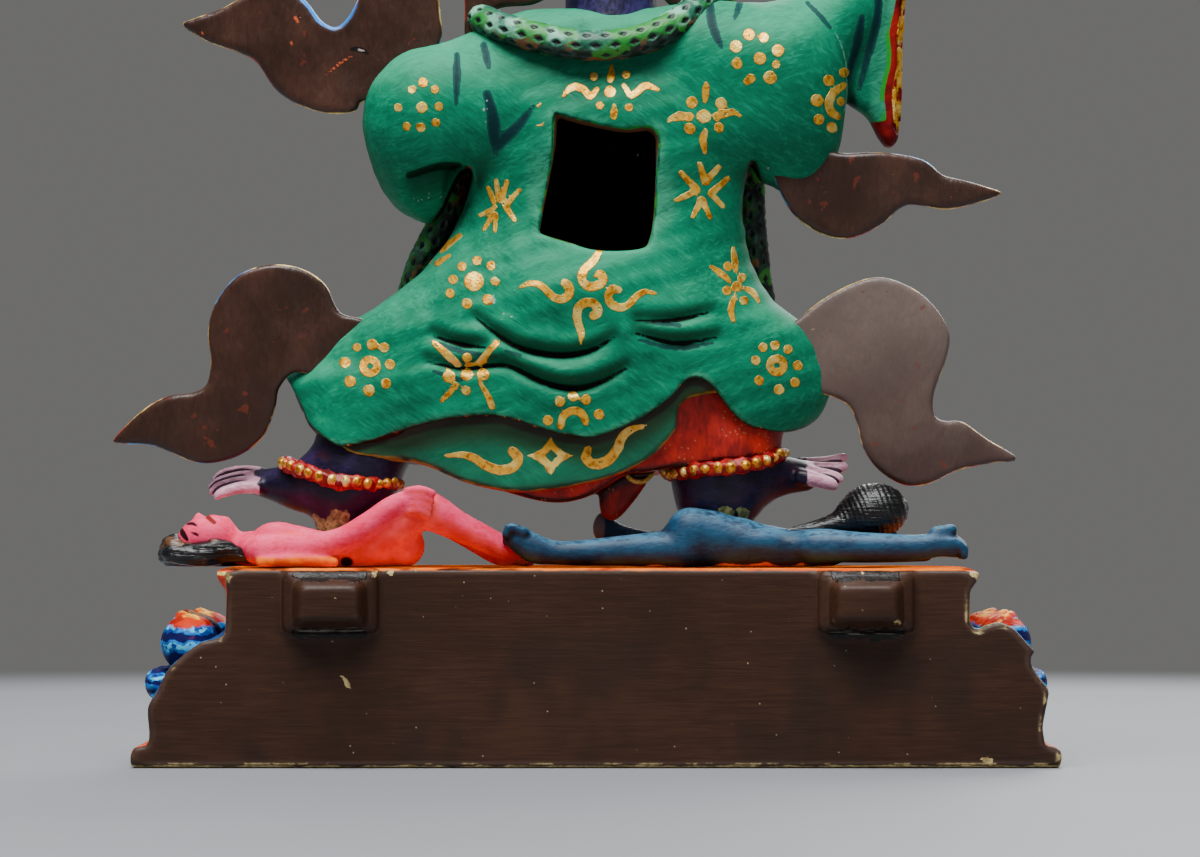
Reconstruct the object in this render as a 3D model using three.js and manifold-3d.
// A painted figure of Mahakala in a long cloak, standing on two prostrate figures on a lotus base.
// Millimetres, +Z up. The origin is the middle of the base's underside. The figure faces -Y, so
// the plain unfinished back of the base and the consecration opening face +Y, and the figure's own
// left hand is at +X. It is four castings: the base, the figure, and the two prostrate figures.
import * as THREE from "three";
import { mergeVertices } from "three/addons/utils/BufferGeometryUtils.js";
import Module from "manifold-3d";

const wasm = await Module();
wasm.setup();

// Driving sizes of the base
const BASE_HEIGHT = 39.4;
const BASE_HALF_WIDTH = 92; // at the foot flange
const BASE_FRONT_REACH = 46; // from the middle to the front of the flange
const BASE_BACK = 26; // from the middle to the flat back
const FLANGE_HEIGHT = 4.2;
const NECK_INSET = 18.6; // how far the neck under the deck stands in from the flange
const PETAL_COUNT = 17;
const LUG_WIDTH = 19;
const LUG_HEIGHT = 11.6;
const LUG_REACH = 7;
const LUG_TAPER = 1.9; // how much each side of a lug draws in towards its face
const LUG_SPACING = 105; // between the middles of the two lugs
const LUG_DROP = 1; // from the deck to the top of a lug

// Driving sizes of the figures
const FIGURE_HEIGHT = 180; // from the deck to the tip of the hair
const SHELL_WALL = 2.6; // thickness of the hollow figure's wall
const SCARF_THICKNESS = 2.6;
const FRONT_FOLD_DEPTH = 2.6; // of the upright folds at the cloak's front hem
const RIBBON_THICKNESS = 2.2;
const SUPINE_LENGTH = 74; // the one lying on its back, from hair to toes
const PRONE_LENGTH = 92; // the one lying on its face, from toes to fingertips
const SEAT_GAP = 0.3; // left between two castings that touch
const SHORTEST_EDGE = 0.9; // of a facet on the standing figure

const DEG = Math.PI / 180;

// Turns a closed three.js geometry into a solid, with its faces pointing out.
function solid(geometry) {
  const bare = geometry.clone();
  bare.deleteAttribute("normal");
  bare.deleteAttribute("uv");
  const merged = mergeVertices(bare, 1e-4);
  const triVerts = new Uint32Array(merged.index.array);
  const vertProperties = new Float32Array(merged.attributes.position.array);
  const made = new wasm.Manifold(new wasm.Mesh({ numProp: 3, vertProperties, triVerts }));
  if (made.volume() > 0) return made;
  for (let i = 0; i < triVerts.length; i += 3) {
    [triVerts[i + 1], triVerts[i + 2]] = [triVerts[i + 2], triVerts[i + 1]];
  }
  return new wasm.Manifold(new wasm.Mesh({ numProp: 3, vertProperties, triVerts }));
}

function geometryOf(made) {
  const { vertProperties, triVerts } = made.getMesh();
  const geometry = new THREE.BufferGeometry();
  geometry.setAttribute("position", new THREE.BufferAttribute(vertProperties, 3));
  geometry.setIndex(new THREE.BufferAttribute(triVerts, 1));
  geometry.computeVertexNormals();
  return geometry;
}

const joinAll = (solids) => solids.reduce((whole, next) => whole.add(next));

// Draws together the ends of every edge shorter than a length, where no face turns over by it,
// so that the slivers left where shapes cross are gone.
function withoutSlivers(made, shortest) {
  const { vertProperties, triVerts } = made.getMesh();
  const points = Array.from({ length: vertProperties.length / 3 }, (_, i) =>
    new THREE.Vector3().fromArray(vertProperties, i * 3),
  );
  const faceCount = triVerts.length / 3;
  const faces = Array.from({ length: faceCount }, (_, i) => [...triVerts.slice(i * 3, i * 3 + 3)]);
  const around = points.map(() => new Set());
  faces.forEach((face, i) => face.forEach((corner) => around[corner].add(i)));
  const neighbours = (corner) => {
    const met = [...around[corner]].flatMap((i) => faces[i]);
    return new Set(met.filter((c) => c !== corner));
  };
  const normal = (corners) => {
    const triangle = new THREE.Triangle(...corners.map((c) => points[c]));
    return triangle.getNormal(new THREE.Vector3());
  };
  const drawTogether = (gone, kept) => {
    const shared = [...neighbours(gone)].filter((c) => neighbours(kept).has(c));
    const dropped = [...around[gone]].filter((i) => faces[i].includes(kept));
    if (shared.length !== 2 || dropped.length !== 2) return false;
    const moved = [...around[gone]].filter((i) => !dropped.includes(i));
    const turned = (i) => faces[i].map((c) => (c === gone ? kept : c));
    const keepsFacing = 0.7;
    if (moved.some((i) => normal(faces[i]).dot(normal(turned(i))) < keepsFacing)) return false;
    dropped.forEach((i) => {
      faces[i].forEach((c) => around[c].delete(i));
      faces[i] = null;
    });
    moved.forEach((i) => {
      faces[i] = turned(i);
      around[kept].add(i);
    });
    around[gone].clear();
    return true;
  };
  let changed = true;
  while (changed) {
    changed = false;
    for (let gone = 0; gone < points.length; gone++) {
      const near = [...neighbours(gone)]
        .filter((c) => points[c].distanceTo(points[gone]) < shortest)
        .sort((a, b) => points[a].distanceTo(points[gone]) - points[b].distanceTo(points[gone]));
      if (near.some((kept) => drawTogether(gone, kept))) changed = true;
    }
  }
  const geometry = new THREE.BufferGeometry().setFromPoints(points);
  geometry.setIndex(faces.filter(Boolean).flat());
  return solid(geometry.toNonIndexed());
}

// Joins rings of points into one closed skin, with a fan over each end.
function loft(rings) {
  const count = rings[0].length;
  const points = rings.flat();
  const faces = [];
  for (let i = 0; i < rings.length - 1; i++) {
    for (let j = 0; j < count; j++) {
      const a = i * count + j;
      const b = i * count + ((j + 1) % count);
      faces.push(a, b, b + count, a, b + count, a + count);
    }
  }
  [0, rings.length - 1].forEach((end) => {
    const centre = new THREE.Vector3();
    rings[end].forEach((p) => centre.addScaledVector(p, 1 / count));
    const hub = points.push(centre) - 1;
    for (let j = 0; j < count; j++) {
      const a = end * count + j;
      const b = end * count + ((j + 1) % count);
      faces.push(...(end ? [a, b, hub] : [b, a, hub]));
    }
  });
  const geometry = new THREE.BufferGeometry().setFromPoints(points);
  geometry.setIndex(faces);
  return solid(geometry);
}

// A smooth value between listed stations, each [place, value, value, ...], read at one place.
function between(stations, place) {
  const last = stations.length - 1;
  const rising = stations[last][0] > stations[0][0];
  let i = 0;
  while (i < last - 1 && (rising ? place > stations[i + 1][0] : place < stations[i + 1][0])) i++;
  const [low, high] = [stations[i], stations[i + 1]];
  const raw = (place - low[0]) / (high[0] - low[0]);
  const t = THREE.MathUtils.clamp(raw, 0, 1);
  const before = stations[Math.max(i - 1, 0)];
  const after = stations[Math.min(i + 2, last)];
  return low.slice(1).map((value, k) => {
    const step = high[0] - low[0];
    const slopeIn = ((high[k + 1] - before[k + 1]) / (high[0] - before[0])) * step;
    const slopeOut = ((after[k + 1] - value) / (after[0] - low[0])) * step;
    const t2 = t * t;
    const t3 = t2 * t;
    return (
      (2 * t3 - 3 * t2 + 1) * value +
      (t3 - 2 * t2 + t) * slopeIn +
      (3 * t2 - 2 * t3) * high[k + 1] +
      (t3 - t2) * slopeOut
    );
  });
}

// A limb through stations [x, y, z, radius, radius towards reference], with rounded ends.
// It takes the unit that its figure is drawn in, a shift along X, and a clearance all round.
function limb(stations, options = {}) {
  const { unit = 1, sides = 8, steps = 4, reference = [0, 1, 0], clearance = 0, shift = 0 } = options;
  const along = stations.map(([x, y, z, side, up = side], i) => [
    i / (stations.length - 1),
    x * unit + shift,
    y * unit,
    z * unit,
    side * unit + clearance,
    up * unit + clearance,
  ]);
  const read = (t) => between(along, t);
  const place = (t) => new THREE.Vector3(...read(t).slice(0, 3));
  const towards = new THREE.Vector3(...reference);
  const ring = (t, shift, share) => {
    const nearby = 0.01;
    const tangent = place(Math.min(t + nearby, 1)).sub(place(Math.max(t - nearby, 0))).normalize();
    const side = new THREE.Vector3().crossVectors(tangent, towards).normalize();
    const up = new THREE.Vector3().crossVectors(side, tangent).normalize();
    const [sideRadius, upRadius] = read(t).slice(3);
    const centre = place(t).addScaledVector(tangent, shift * Math.min(sideRadius, upRadius));
    return Array.from({ length: sides }, (_, j) => {
      const angle = (j / sides) * 2 * Math.PI;
      return centre
        .clone()
        .addScaledVector(side, Math.cos(angle) * sideRadius * share)
        .addScaledVector(up, Math.sin(angle) * upRadius * share);
    });
  };
  const [capReach, capShare] = [0.8, 0.6];
  const rings = [ring(0, -capReach, capShare)];
  for (let i = 0; i <= steps; i++) rings.push(ring(i / steps, 0, 1));
  rings.push(ring(1, capReach, capShare));
  return loft(rings);
}

// An egg shape: its centre, its three radii, and its tilt about X, Y and Z in degrees.
function blob(centre, radii, options = {}) {
  const { unit = 1, tilt = [0, 0, 0], around = 8, down = 5, clearance = 0, shift = 0 } = options;
  const geometry = new THREE.SphereGeometry(1, around, down);
  geometry.scale(...radii.map((r) => r * unit + clearance));
  const turn = new THREE.Euler(...tilt.map((angle) => angle * DEG));
  geometry.applyMatrix4(new THREE.Matrix4().makeRotationFromEuler(turn));
  geometry.translate(...centre.map((c) => c * unit));
  geometry.translate(shift, 0, 0);
  return solid(geometry);
}

// A flat flying piece: an outline of [x, z] in the unit, smoothed, with its back face at y.
function plate(outline, y, thickness, { unit = 1, points = 36, bend = () => 0 } = {}) {
  const curve = new THREE.CatmullRomCurve3(
    outline.map(([x, z]) => new THREE.Vector3(x * unit, z * unit, 0)),
    true,
    "catmullrom",
    0.5,
  );
  const corners = curve.getPoints(points).slice(0, points).map((p) => new THREE.Vector2(p.x, p.y));
  const shape = new THREE.Shape(corners);
  const geometry = new THREE.ExtrudeGeometry(shape, { depth: thickness, bevelEnabled: false });
  geometry.rotateX(90 * DEG);
  geometry.translate(0, y, 0);
  const position = geometry.attributes.position;
  for (let i = 0; i < position.count; i++) {
    position.setY(i, position.getY(i) + bend(position.getX(i), position.getZ(i)));
  }
  return solid(geometry);
}

// The lotus base

const PLAN_POWER = 3; // how square the oval plan is

// The base's profile: height as a share, how far it stands in from the flange as a share of the
// neck's inset, and how far the petals swell there, in millimetres.
const BASE_PROFILE = [
  [0, 0, 0],
  [FLANGE_HEIGHT / BASE_HEIGHT, 0, 0],
  [(FLANGE_HEIGHT + 0.6) / BASE_HEIGHT, 0.13, 0],
  [0.34, 0.15, 1.2], [0.44, 0.25, 2.6], [0.5, 0.31, 0.4], [0.57, 0.33, 3.4], [0.66, 0.47, 4.2],
  [0.75, 0.95, 0.6], [0.92, 1, 0], [0.95, 0.9, 0], [1, 0.92, 0],
];

// One level of the base: round the front from back corner to back corner, evenly spaced.
function baseRing(height, inset, swell) {
  const a = BASE_HALF_WIDTH - inset;
  const b = BASE_FRONT_REACH - inset * 0.75;
  const stretch = (v) => Math.sign(v) * Math.abs(v) ** (2 / PLAN_POWER);
  const fine = [];
  const fineSteps = 600;
  for (let i = 0; i <= fineSteps; i++) {
    const angle = 90 * DEG - (i / fineSteps) * 360 * DEG;
    fine.push(new THREE.Vector2(a * stretch(Math.cos(angle)), b * stretch(Math.sin(angle))));
  }
  const front = fine.filter((p) => p.y < BASE_BACK);
  const run = [0];
  for (let i = 1; i < front.length; i++) run.push(run[i - 1] + front[i].distanceTo(front[i - 1]));
  const total = run[run.length - 1];
  const samples = PETAL_COUNT * 3;
  let k = 0;
  return Array.from({ length: samples + 1 }, (_, i) => {
    const want = (i / samples) * total;
    while (k < run.length - 2 && run[k + 1] < want) k++;
    const share = (want - run[k]) / (run[k + 1] - run[k]);
    const p = front[k].clone().lerp(front[k + 1], share);
    const phase = ((i / samples) * PETAL_COUNT * 2 + 1) * Math.PI;
    const bulge = swell * (0.5 + 0.5 * Math.cos(phase));
    const outward = new THREE.Vector2(p.x / (a * a), p.y / (b * b)).normalize();
    const atEnd = i === 0 || i === samples;
    const moved = atEnd ? p : p.addScaledVector(outward, bulge);
    return new THREE.Vector3(moved.x, atEnd ? BASE_BACK : moved.y, height);
  });
}

function lug(middle) {
  const top = BASE_HEIGHT - LUG_DROP;
  const corner = 1.5;
  const face = (y, draw) => {
    const halfWidth = LUG_WIDTH / 2 - draw;
    const [low, high] = [top - LUG_HEIGHT + draw * 0.5, top - draw * 0.5];
    return [
      [-halfWidth, low + corner],
      [-halfWidth + corner, low],
      [halfWidth - corner, low],
      [halfWidth, low + corner],
      [halfWidth, high - corner],
      [halfWidth - corner, high],
      [-halfWidth + corner, high],
      [-halfWidth, high - corner],
    ].map(([x, z]) => new THREE.Vector3(middle + x, y, z));
  };
  const rooted = 3; // how far a lug runs into the base
  const shoulder = 1.2;
  return loft([
    face(BASE_BACK - rooted, 0),
    face(BASE_BACK + LUG_REACH - shoulder, LUG_TAPER * 0.7),
    face(BASE_BACK + LUG_REACH, LUG_TAPER + shoulder * 0.5),
  ]);
}

function lotusBase() {
  const rings = BASE_PROFILE.map(([share, inset, swell]) =>
    baseRing(share * BASE_HEIGHT, inset * NECK_INSET, swell),
  );
  return joinAll([loft(rings), lug(LUG_SPACING / 2), lug(-LUG_SPACING / 2)]);
}

// The two prostrate figures. Each is drawn from the deck up, in shares of its own length, and
// keeps its feet where the two pairs of feet meet.
const FEET_MEET = 15;

// Lying on its back with its knees up, head over the base's +X end.
function supineFigure(clearance = 0) {
  const unit = SUPINE_LENGTH / 74;
  const drawn = { unit, clearance, shift: FEET_MEET * (1 - unit) };
  const part = (stations, more = {}) => limb(stations, { sides: 6, steps: 3, ...drawn, ...more });
  const lump = (centre, radii, more = {}) => blob(centre, radii, { ...drawn, ...more });
  const body = joinAll([
    part(
      [
        [70, 9, 4.4, 3, 4.4], [62, 9, 4.8, 4.6, 8], [54, 9, 3.6, 3.6, 6.5], [44, 9, 3.2, 4, 7],
      ],
      { sides: 8 },
    ),
    lump([78.2, 9, 6.2], [5.6, 4.4, 4.4], { tilt: [0, 15, 0] }),
    part([[67, 9, 1.8, 1.8, 5], [76, 9, 2.6, 2.6, 5.4], [84.6, 9, 2.4, 1.8, 4]], { steps: 2 }),
    part([[68, 16, 3, 2.6], [54, 17.4, 2.8, 2.2], [46, 17, 6.6, 2.2], [33, 14.4, 15.2, 2]]),
    part(
      [
        [48, 12.6, 3.4, 4], [40, 12.4, 9, 3.6], [33, 12, 13.4, 3], [24, 11, 7.4, 2.6], [16, 10, 2.2, 2],
      ],
      { steps: 5 },
    ),
    lump([15.6, 9.6, 1.6], [3.6, 2.4, 2.2], { tilt: [0, 10, 0] }),
    part(
      [
        [48, 5, 3.4, 4], [41, 4, 8.6, 3.4], [35, 4, 12.4, 2.8], [27, 3.4, 7, 2.5], [20, 3, 2.2, 2],
      ],
      { steps: 5 },
    ),
    lump([18.6, 2.6, 1.6], [3.4, 2.3, 2.2], { tilt: [0, 10, 0] }),
    part([[67, 2.4, 3, 2.2], [56, 0.2, 2.4, 2], [47, 1, 3, 1.8]], { steps: 2 }),
  ]);
  return body.subtract(belowDeck(SEAT_GAP - clearance));
}

// Lying on its face with its arms stretched out, head towards the base's -X end.
function proneFigure(clearance = 0) {
  const unit = PRONE_LENGTH / 92;
  const drawn = { unit, clearance, shift: FEET_MEET * (1 - unit) };
  const part = (stations, more = {}) => limb(stations, { sides: 6, steps: 3, ...drawn, ...more });
  const lump = (centre, radii, more = {}) => blob(centre, radii, { ...drawn, ...more });
  const leg = [
    [-17, 13, 3.8, 3.8], [-6, 14, 3.4, 3], [4, 14.6, 3, 2.4], [12, 15, 3.2, 2.2],
    [16.4, 15.2, 8.4, 1.6],
  ];
  const farLeg = [
    [-17, 5, 3.6, 3.6], [-11, 2.4, 3.2, 2.9], [-6, -1, 3, 2.3], [-3.4, -3, 3.4, 2.2],
    [-2.8, -4, 8.8, 1.6],
  ];
  const body = joinAll([
    part(
      [
        [-18, 9, 5, 4.6, 7], [-28, 9, 4.4, 3.8, 6], [-38, 9, 4.4, 4, 7.4], [-50, 9, 5, 2.6, 4.6],
      ],
      { sides: 8 },
    ),
    lump([-19.4, 12.6, 6.6], [5.8, 4.4, 5]),
    lump([-19.4, 5, 6.4], [5.8, 4.4, 4.8]),
    part(leg, { steps: 5 }),
    part(farLeg, { steps: 5 }),
    part([[-44, 15, 3.8, 2.8], [-55, 17.4, 3.4, 2.4], [-64, 17, 3.6, 1.9], [-73, 16, 3, 1.5]]),
    part([[-44, 3.4, 3.8, 2.8], [-53, 0.4, 3, 2.2], [-60, -4, 2.6, 1.8], [-67, -7.6, 2.2, 1.4]]),
    lump([-55.4, 8, 6.4], [5, 4.2, 4.6]),
    lump([-55.2, 9.4, 11.4], [6.6, 6, 5], { around: 10 }),
    part([[-52, 9, 9, 3.2], [-46, 9, 7.8, 2, 4], [-38.6, 9, 7, 1.2, 3]], { steps: 2 }),
  ]);
  return body.subtract(belowDeck(SEAT_GAP - clearance));
}

// All that lies lower than a level above the deck.
function belowDeck(level) {
  const depth = 40;
  const span = 400;
  const slab = new THREE.BoxGeometry(span, span, depth);
  slab.translate(0, 0, level - depth / 2);
  return solid(slab);
}

// The standing figure, drawn from the deck up in 180ths of its own height.

const unit = FIGURE_HEIGHT / 180;
const part = (stations, more = {}) => limb(stations, { unit, ...more });
const lump = (centre, radii, more = {}) => blob(centre, radii, { unit, ...more });

// The cloak's levels: height, half width at +X and at -X, back, front, squareness.
const CLOAK_LEVELS = [
  [115, 13.5, 15, 8, -11, 2], [111, 19, 21, 11, -13, 2.1], [106, 28, 32, 13.5, -15, 2.2],
  [100, 32, 37, 15.5, -17, 2.3], [92, 29, 37, 16.5, -20, 2.3], [84, 26, 34, 17, -22, 2.3],
  [76, 25.8, 30.8, 17.5, -23.5, 2.3], [68, 28.6, 30, 18, -24.5, 2.3], [60, 35, 31.6, 18.6, -24.5, 2.2],
  [54, 42, 35.6, 19, -24, 2.1], [48, 51.4, 43, 19.4, -23, 2], [42, 56, 47.6, 19.6, -22, 1.9],
  [36, 60.6, 47.8, 19.6, -21.4, 1.9], [30, 57.6, 44, 19, -21, 1.9], [24, 51, 37, 18, -20.6, 1.9],
];

// The hem of each layer as [x, height], across the back and across the front.
const CLOAK_HEM_BACK = [
  [60, 35.5], [52, 25], [38, 27.6], [20, 30], [5, 26], [-6, 28], [-18.6, 37.4], [-27, 30.6],
  [-37, 27.4], [-44, 29.4], [-48, 37],
];
const CLOAK_HEM_FRONT = [
  [60, 35.5], [48, 29], [30, 31], [8, 27], [-3, 30], [-14, 27], [-30, 31], [-40, 29.4], [-48, 37],
];
const UNDER_HEM_BACK = [
  [54, 27], [48, 23.4], [38, 22.2], [25, 18.2], [15, 15.4], [3, 16.6], [-6, 20], [-12, 25], [-19, 34],
  [-42, 34],
];
const UNDER_HEM_FRONT = [[54, 27], [40, 22], [20, 20], [0, 17], [-20, 21], [-42, 34]];
const SKIRT_HEM_BACK = [
  [46, 22], [34, 18], [20, 15.2], [10, 13], [0, 14.6], [-10, 19], [-22, 21], [-36, 22.6],
];
const SKIRT_HEM_FRONT = [[46, 22], [20, 17], [0, 14.4], [-20, 18], [-36, 22.6]];

// The front hangs in soft upright folds that deepen towards the hem.
const FRONT_FOLDS = 8;

// One layer of dress between its hem and a top level, standing in from the cloak by inset.
function dressLayer(backHem, frontHem, top, inset, around, levels) {
  const point = (angle, share) => {
    const acrossHem = Math.cos(angle) > 0 ? backHem[0][0] : -backHem[backHem.length - 1][0];
    const hemList = Math.sin(angle) > 0 ? backHem : frontHem;
    const hem = between(hemList, Math.sign(Math.cos(angle)) * Math.abs(Math.cos(angle)) * acrossHem)[0];
    const height = hem + (top - hem) * share;
    const [left, right, back, front, power] = between(CLOAK_LEVELS, height);
    const stretch = (v) => Math.sign(v) * Math.abs(v) ** (2 / power);
    const halfWidth = (Math.cos(angle) > 0 ? left : right) - inset;
    const drape = (FRONT_FOLD_DEPTH / unit) * (1 - share) * (0.5 - 0.5 * Math.cos(angle * FRONT_FOLDS * 2));
    const depth = Math.sin(angle) > 0 ? back - inset : -front - inset - drape;
    return new THREE.Vector3(
      stretch(Math.cos(angle)) * halfWidth * unit,
      stretch(Math.sin(angle)) * depth * unit,
      height * unit,
    );
  };
  const rings = [];
  for (let i = 0; i <= levels; i++) {
    rings.push(
      Array.from({ length: around }, (_, j) => point((j / around) * 2 * Math.PI, i / levels)),
    );
  }
  return loft(rings);
}

function dress() {
  return joinAll([
    dressLayer(CLOAK_HEM_BACK, CLOAK_HEM_FRONT, 115, 0, 32, 10),
    dressLayer(UNDER_HEM_BACK, UNDER_HEM_FRONT, 44, 2.6, 22, 1),
    dressLayer(SKIRT_HEM_BACK, SKIRT_HEM_FRONT, 40, 5, 18, 1),
    part([[-27, 0, 34, 11, 12], [-24, 2, 26, 12, 13], [-23.6, 2, 23.6, 11.6, 12.6]], { steps: 3 }),
    plate([[-7, 22], [-1.8, 17.6], [-0.4, 13.6], [-1, 10], [-4, 9.2], [-8, 13.6], [-11, 18.6]], 3, 2.6, {
      unit,
      points: 14,
    }),
  ]);
}

// The folds carved across the seat of the cloak, as lines of [x, height] on its back.
const BACK_FOLDS = [
  [[24, 48.4], [14, 43.8], [4, 42.6], [-5, 45.6]],
  [[33, 44], [21, 41.8], [11, 37.4], [0, 36.4], [-6, 39]],
  [[-8, 45.4], [-15, 44.2], [-23, 45.4]],
];

function foldCuts() {
  const backAt = (x, height) => {
    const [left, right, back, , power] = between(CLOAK_LEVELS, height);
    const share = Math.min(Math.abs(x) / (x > 0 ? left : right), 1);
    return back * (1 - share ** power) ** (1 / power);
  };
  return joinAll(
    BACK_FOLDS.map((line) =>
      part(
        line.map(([x, z], i) => {
          const width = i === 0 || i === line.length - 1 ? 0.3 : 0.9;
          return [x, backAt(x, z), z, width, 1.1];
        }),
        { sides: 3, steps: 4 },
      ),
    ),
  );
}

// The hollow inside the shell and the opening through its back.
const OPENING_CORNERS = [[7.8, 91.2], [-11.8, 88], [-13, 86.4], [-10.8, 63.8], [11.2, 66.6]];
const HOLLOW_LEVELS = [[56, 0.62], [64, 0.9], [76, 1], [88, 0.95], [97, 0.66]];

function hollow() {
  const middle = -1;
  const reach = 17;
  const room = (height, share) => {
    const [, , back, front, power] = between(CLOAK_LEVELS, height);
    const [rear, fore] = [back * unit - SHELL_WALL, -front * unit - SHELL_WALL];
    const squareness = power + 1.4;
    const stretch = (v) => Math.sign(v) * Math.abs(v) ** (2 / squareness);
    return Array.from({ length: 20 }, (_, j) => {
      const angle = (j / 20) * 2 * Math.PI;
      const depth = Math.sin(angle) > 0 ? rear : fore * 0.7;
      const y = stretch(Math.sin(angle)) * depth * share;
      const x = (middle + stretch(Math.cos(angle)) * reach * share) * unit;
      return new THREE.Vector3(x, y, height * unit);
    });
  };
  const corners = OPENING_CORNERS.map(([x, z]) => new THREE.Vector2(x * unit, z * unit));
  const mouth = new THREE.Shape(corners);
  const through = new THREE.ExtrudeGeometry(mouth, { depth: 24 * unit, bevelEnabled: false });
  through.rotateX(90 * DEG);
  through.translate(0, 28 * unit, 0);
  return loft(HOLLOW_LEVELS.map(([height, share]) => room(height, share))).add(solid(through));
}

function arms() {
  return joinAll([
    part(
      [
        [22, 3, 102, 9], [34.4, 5, 92.6, 11.8, 11], [35.4, 5, 84.4, 10.8, 10.4], [32, -6, 77, 8, 8],
        [24, -18, 80, 7], [15, -25, 85, 6],
      ],
    ),
    part([[16, -25, 84.6, 4], [8, -30, 86, 4.4, 3]], { steps: 2 }),
    part([[-23, 3, 103, 11], [-36, 4, 99, 13, 12], [-38.6, 4, 90, 11.4, 11], [-41, 3, 81, 6.4, 7]]),
    part(
      [
        [-40, 2, 102, 11, 9], [-50, -2, 112, 9.6, 8], [-56, -5, 124, 7.4, 6.6],
        [-59, -7, 132, 5.6, 5.4],
      ],
    ),
    part([[-59, -7, 132, 3.6], [-60, -8, 139, 4.2, 4.6]], { steps: 2 }),
    plate(
      [
        [-44, 116], [-44, 100], [-50, 94], [-54.8, 91], [-56.8, 86], [-59, 84], [-61.4, 86.6],
        [-62.2, 93], [-62.4, 106], [-63.4, 118], [-63, 130], [-57, 133],
      ],
      5.5,
      11,
      { unit, points: 24 },
    ),
  ]);
}

// The flying ends of the scarf, [x, height] round each outline, going round as seen from the front.
const SCARF_UPPER_LEFT = [
  [38, 92], [46.6, 92.8], [53.2, 91], [59.4, 92.6], [64.6, 96], [68.4, 101.6], [73, 104], [79, 106],
  [83.4, 109.4], [77, 112.4], [70, 115.6], [64, 117], [59, 113.6], [54.2, 108.6], [49, 113],
  [46.6, 119], [49.6, 127], [56.6, 134], [46.6, 136.4], [38, 130], [32.6, 120], [31, 108], [33, 98],
];
const SCARF_MIDDLE_RIGHT = [
  [-36, 78], [-42, 68], [-50.6, 66.2], [-56.6, 68.6], [-61.6, 72.4], [-71, 72], [-77.6, 73.4],
  [-81.6, 75.4], [-74, 77.6], [-69.8, 78.6], [-65, 82], [-57.8, 83], [-48.8, 83.2], [-40, 90],
  [-32, 88],
];
const SCARF_LOWER_LEFT = [
  [46, 48], [51.6, 51.6], [54.6, 57], [59.2, 60], [65.2, 60.8], [72.2, 58.6], [76.4, 53.6], [78, 47.6],
  [77.4, 41.6], [78.4, 36.8], [81.4, 35.2], [86.2, 34.4], [91.2, 31.6], [97.2, 25.4], [89, 24.6],
  [81.2, 21.2], [76, 21], [70, 23.4], [66, 27.4], [64.4, 34.6], [60, 38.6], [52, 38],
];
const SCARF_LOWER_RIGHT = [
  [-36, 46], [-41, 50.4], [-46.8, 54.6], [-54.8, 58], [-60.8, 57.2], [-66.8, 53.6], [-70.8, 47.6],
  [-70.2, 41.6], [-67.6, 34.8], [-68, 30.4], [-73.8, 29.2], [-78.8, 25.8], [-84.4, 22.2], [-79, 20.6],
  [-72.8, 19.4], [-66.8, 16.8], [-61.8, 16.6], [-56.6, 19.8], [-53.6, 24], [-52.4, 29.4], [-49, 34],
  [-42, 35],
];
const RIBBON_LEFT = [
  [11, 131], [22, 126], [30, 121], [34, 117], [33, 112.6], [28, 111.6], [26.6, 108], [26, 104.4],
  [23.4, 104.4], [22.6, 109], [20, 112.4], [12, 113.6], [8, 118],
];
const RIBBON_RIGHT = [[-16, 131], [-27, 129], [-33, 122], [-31, 117], [-26, 113], [-19, 112], [-13, 116]];

function scarves() {
  const curl = 0.0035; // how strongly a scarf end curls to the front, for each unit beyond its start
  const towardsFront = (start) => (x) => -curl * Math.max(Math.abs(x) / unit - start, 0) ** 2 * unit;
  const fly = (outline, y, start) =>
    plate(outline, y * unit, SCARF_THICKNESS, { unit, points: 36, bend: towardsFront(start) });
  const ribbon = (outline, y) => plate(outline, y * unit, RIBBON_THICKNESS, { unit, points: 18 });
  return joinAll([
    fly(SCARF_UPPER_LEFT, 7, 45),
    fly(SCARF_MIDDLE_RIGHT, 8, 50),
    fly(SCARF_LOWER_LEFT, 6, 60),
    fly(SCARF_LOWER_RIGHT, 6, 50),
    ribbon(RIBBON_LEFT, 2),
    ribbon(RIBBON_RIGHT, 2),
  ]);
}

// The serpent round the shoulders, and the long one that hangs before the dress.
function serpents() {
  const round = [
    [-4, -19, 104, 2.8], [10, -17, 106, 3], [20, -9, 110, 3], [23, 1, 110, 3], [17.4, 9.6, 107.6, 3.1],
    [8, 14, 105, 3.1], [0, 15.4, 104.2, 3.1], [-9, 14, 105.8, 3.1], [-17, 10.4, 110, 3.1],
    [-22, 4, 114.4, 3], [-23, -5, 115, 3], [-16, -14, 110, 3], [-6, -19.6, 107.6, 3.2],
    [2, -22, 105, 3.6], [5.4, -23.6, 102.6, 2.4],
  ];
  const hanging = [
    [24, -15, 98, 3], [27, -11, 86, 3], [30, -8.6, 72, 3], [36.4, -10, 59, 3], [38, -16, 47, 3],
    [30, -22.6, 36, 3], [14, -25.4, 28, 3], [-3, -26, 26, 3], [-18, -25, 30, 3], [-29, -20.6, 38, 3],
    [-34, -14, 48, 3], [-32.6, -9.4, 59, 3], [-31, -8.6, 72, 3], [-30.6, -10, 86, 3], [-27, -15, 98, 3],
  ];
  return joinAll([
    part(round, { sides: 5, steps: 20, reference: [0, 0, 1] }),
    part(hanging, { sides: 5, steps: 20, reference: [0, 1, 0.2] }),
  ]);
}

const TOE_COUNT = 5;

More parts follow.
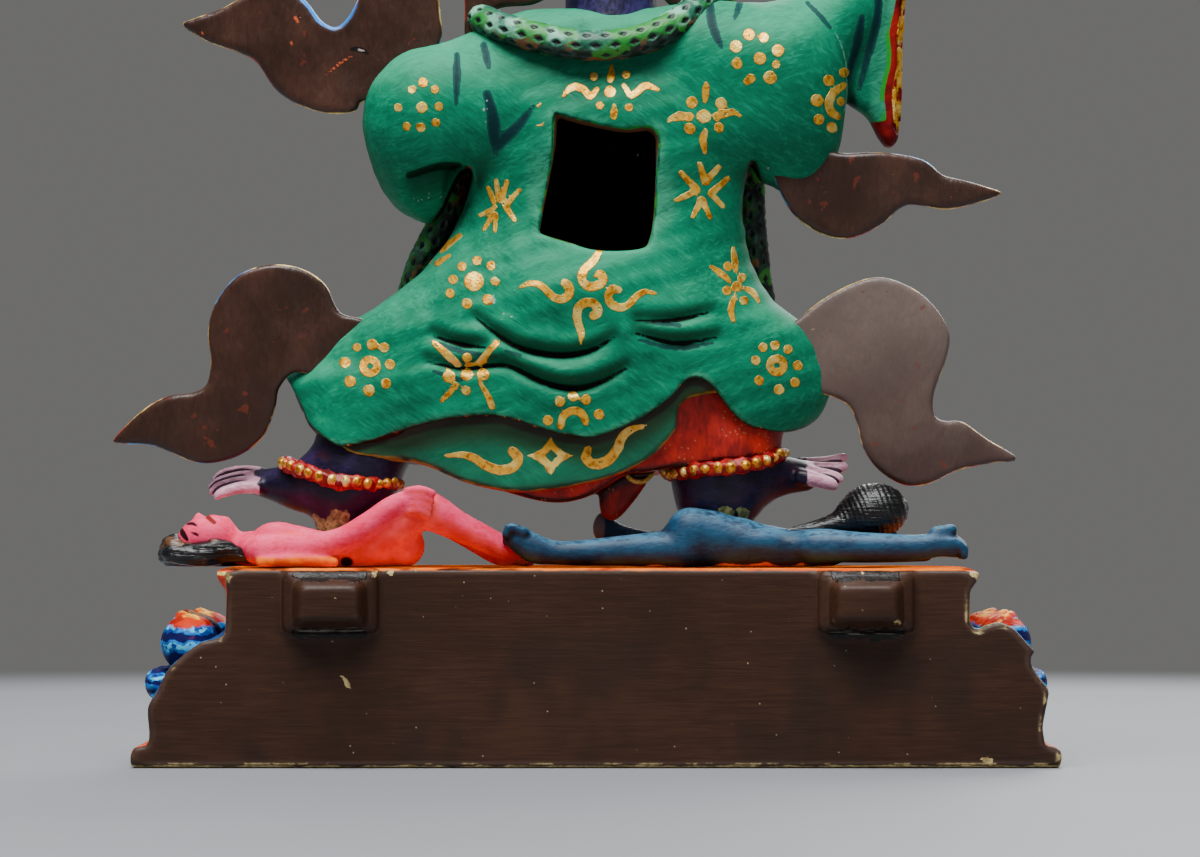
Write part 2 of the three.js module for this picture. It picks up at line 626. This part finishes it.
// A foot with its toes. It points along the x side, with the big toe towards the front.
function foot(stations, toes, side) {
  const toe = (i) => {
    const spread = i / (TOE_COUNT - 1);
    const [x, y, z] = toes;
    const across = y - 4.6 + 9 * spread;
    const centre = [x + side * (2.4 - 1.2 * spread), across, z + 0.4 - 0.8 * spread];
    return lump(centre, [4, 1.8 - 0.5 * spread, 1.7], { around: 6, down: 3 });
  };
  return joinAll([part(stations, { steps: 3 }), ...Array.from({ length: TOE_COUNT }, (_, i) => toe(i))]);
}

// A band of ankle beads round a leg: a tilted ring.
function anklet(centre, radius, slope) {
  const geometry = new THREE.TorusGeometry(radius * unit, 1.7 * unit, 4, 13);
  geometry.rotateY(-slope * DEG);
  geometry.scale(1, 0.92, 1);
  geometry.translate(...centre.map((c) => c * unit));
  return solid(geometry);
}

function legs() {
  const leftLeg = [
    [42, -2, 34, 10, 11], [46.6, 1, 24, 9.6, 10.4], [48, 3, 15, 8.6, 8.6], [47.6, 3, 9.4, 6.4, 7],
  ];
  const leftFoot = [
    [48, 2, 13.6, 6, 7], [58, 0, 15.4, 5, 6.6], [66, -2, 16.6, 3.6, 6.4], [71, -3, 17, 2.6, 5.8],
  ];
  const rightLeg = [
    [-26, -2, 34, 11, 12], [-24.4, 1, 22, 10.6, 11.4], [-24, 2, 15, 10, 9.6], [-25, 3, 9.6, 7.6, 7.6],
  ];
  const rightFoot = [
    [-27, 2, 15.6, 6, 7], [-36, 0, 17.6, 5, 6.6], [-42, -2, 19.2, 3.6, 6.4], [-45, -3, 20, 2.6, 5.8],
  ];
  return joinAll([
    part(leftLeg, { steps: 3 }),
    foot(leftFoot, [71, -3, 16.6], 1),
    anklet([50.6, 2, 19.2], 11.4, 14),
    part(rightLeg, { steps: 3 }),
    foot(rightFoot, [-45, -3, 19.6], -1),
    anklet([-23.6, 2, 20.6], 12.2, -7),
  ]);
}

const HEAD_X = -3;

// A skull of the crown with its small flame, at an angle round the head.
function crownSkull(angle) {
  const reach = 15.6;
  const [x, y] = [HEAD_X + Math.sin(angle) * reach, -8 - Math.cos(angle) * reach];
  return joinAll([
    lump([x, y, 146.8], [3.7, 3.5, 4.4], { around: 6, down: 4 }),
    part([[x, y + 0.4, 150, 1.8, 1.4], [x, y + 0.8, 155.4, 0.4, 0.4]], { sides: 4, steps: 1 }),
  ]);
}

// The hair stands up like one tall flame, ridged by locks that twist round it.
const HAIR_LEVELS = [[143, 11], [150, 14.6], [158, 13.2], [166, 9], [173, 4.6], [180, 0.5]];
const HAIR_LOCKS = 9;
const HAIR_TWIST = 0.055; // radians for each unit of height

function hair() {
  const [foot] = HAIR_LEVELS[0];
  return loft(
    HAIR_LEVELS.map(([height, radius]) =>
      Array.from({ length: HAIR_LOCKS * 2 }, (_, j) => {
        const angle = (j / HAIR_LOCKS) * Math.PI + (height - foot) * HAIR_TWIST;
        const reach = radius * (j % 2 ? 0.84 : 1.1) * unit;
        const middle = new THREE.Vector3(HEAD_X * unit, -4 * unit, height * unit);
        return middle.add(new THREE.Vector3(Math.cos(angle) * reach, Math.sin(angle) * reach, 0));
      }),
    ),
  );
}

function head() {
  const skulls = [-72, -36, 0, 36, 72].map((degrees) => crownSkull(degrees * DEG));
  const x = HEAD_X;
  const sideFeatures = [1, -1].flatMap((side) => [
    lump([x + side * 6.2, -20.6, 135.4], [3.4, 2.6, 2.8], { around: 6, down: 4 }),
    lump([x + side * 6.6, -21.4, 139.4], [6, 2.4, 1.7], { around: 6, down: 4, tilt: [0, -side * 10, 0] }),
    lump([x + side * 15.4, -5, 128.4], [2.6, 3.4, 7.6], { around: 6 }),
  ]);
  return joinAll([
    part([[x, -2, 106, 10], [x, -5, 122, 9.4]], { steps: 1 }),
    lump([x, -7.6, 132], [15, 15.6, 17], { around: 12, down: 6 }),
    lump([x, -13.6, 123], [11.4, 9, 8], { around: 9 }),
    lump([x, -23.4, 130.6], [3.6, 3.2, 3.4], { around: 6, down: 4 }),
    lump([x, -20.4, 123.4], [7, 4, 2.2], { around: 6, down: 4 }),
    ...sideFeatures,
    lump([x, -7.8, 143.4], [16.6, 16.6, 3.4], { around: 12, down: 3 }),
    ...skulls,
    hair(),
  ]);
}

// What the hands hold: the skull cup before the chest, and the raised curved knife.
function attributes() {
  const blade = [
    [-71, 150], [-67, 146.4], [-60, 145], [-53, 146.6], [-49.4, 151], [-54, 149.6], [-60, 149.4],
    [-66, 151.6], [-70.6, 157.4], [-72.6, 155],
  ];
  return joinAll([
    lump([7.4, -31, 93], [7.2, 6.8, 6], { around: 9 }),
    lump([7.4, -31, 97.6], [5.6, 5.2, 2.6], { down: 4 }),
    plate(blade, -6.6 * unit, 2.4, { unit, points: 22 }),
    part([[-60, -8, 130, 1.7], [-60, -8, 139, 1.7], [-60, -8, 148, 1.7]], { sides: 6, steps: 3 }),
    lump([-60, -8, 128.6], [2.6, 2.6, 3.2], { around: 6, down: 4 }),
    lump([-60, -8, 139.4], [4.6, 5, 4.4]),
    lump([8, -30, 87], [5.6, 4.4, 4]),
  ]);
}

function standingFigure() {
  const outside = joinAll([dress(), arms(), scarves(), serpents(), legs(), head(), attributes()]);
  return withoutSlivers(outside, SHORTEST_EDGE)
    .subtract(foldCuts())
    .subtract(hollow())
    .subtract(belowDeck(SEAT_GAP))
    .subtract(supineFigure(SEAT_GAP))
    .subtract(proneFigure(SEAT_GAP));
}

// Paint colours of the four castings
const paint = (color) => new THREE.MeshStandardMaterial({ color, roughness: 0.55, metalness: 0 });

const mahakala = new THREE.Group();
const casting = (name, made, colour, height) => {
  const mesh = new THREE.Mesh(geometryOf(made), paint(colour));
  mesh.name = name;
  mesh.position.z = height;
  mahakala.add(mesh);
};
casting("lotus_base", lotusBase(), "#3a2a24", 0);
casting("standing_figure", standingFigure(), "#1d8a66", BASE_HEIGHT);
casting("supine_figure", supineFigure(), "#ea5c84", BASE_HEIGHT);
casting("prone_figure", proneFigure().subtract(supineFigure(SEAT_GAP)), "#1f5478", BASE_HEIGHT);

export default mahakala;
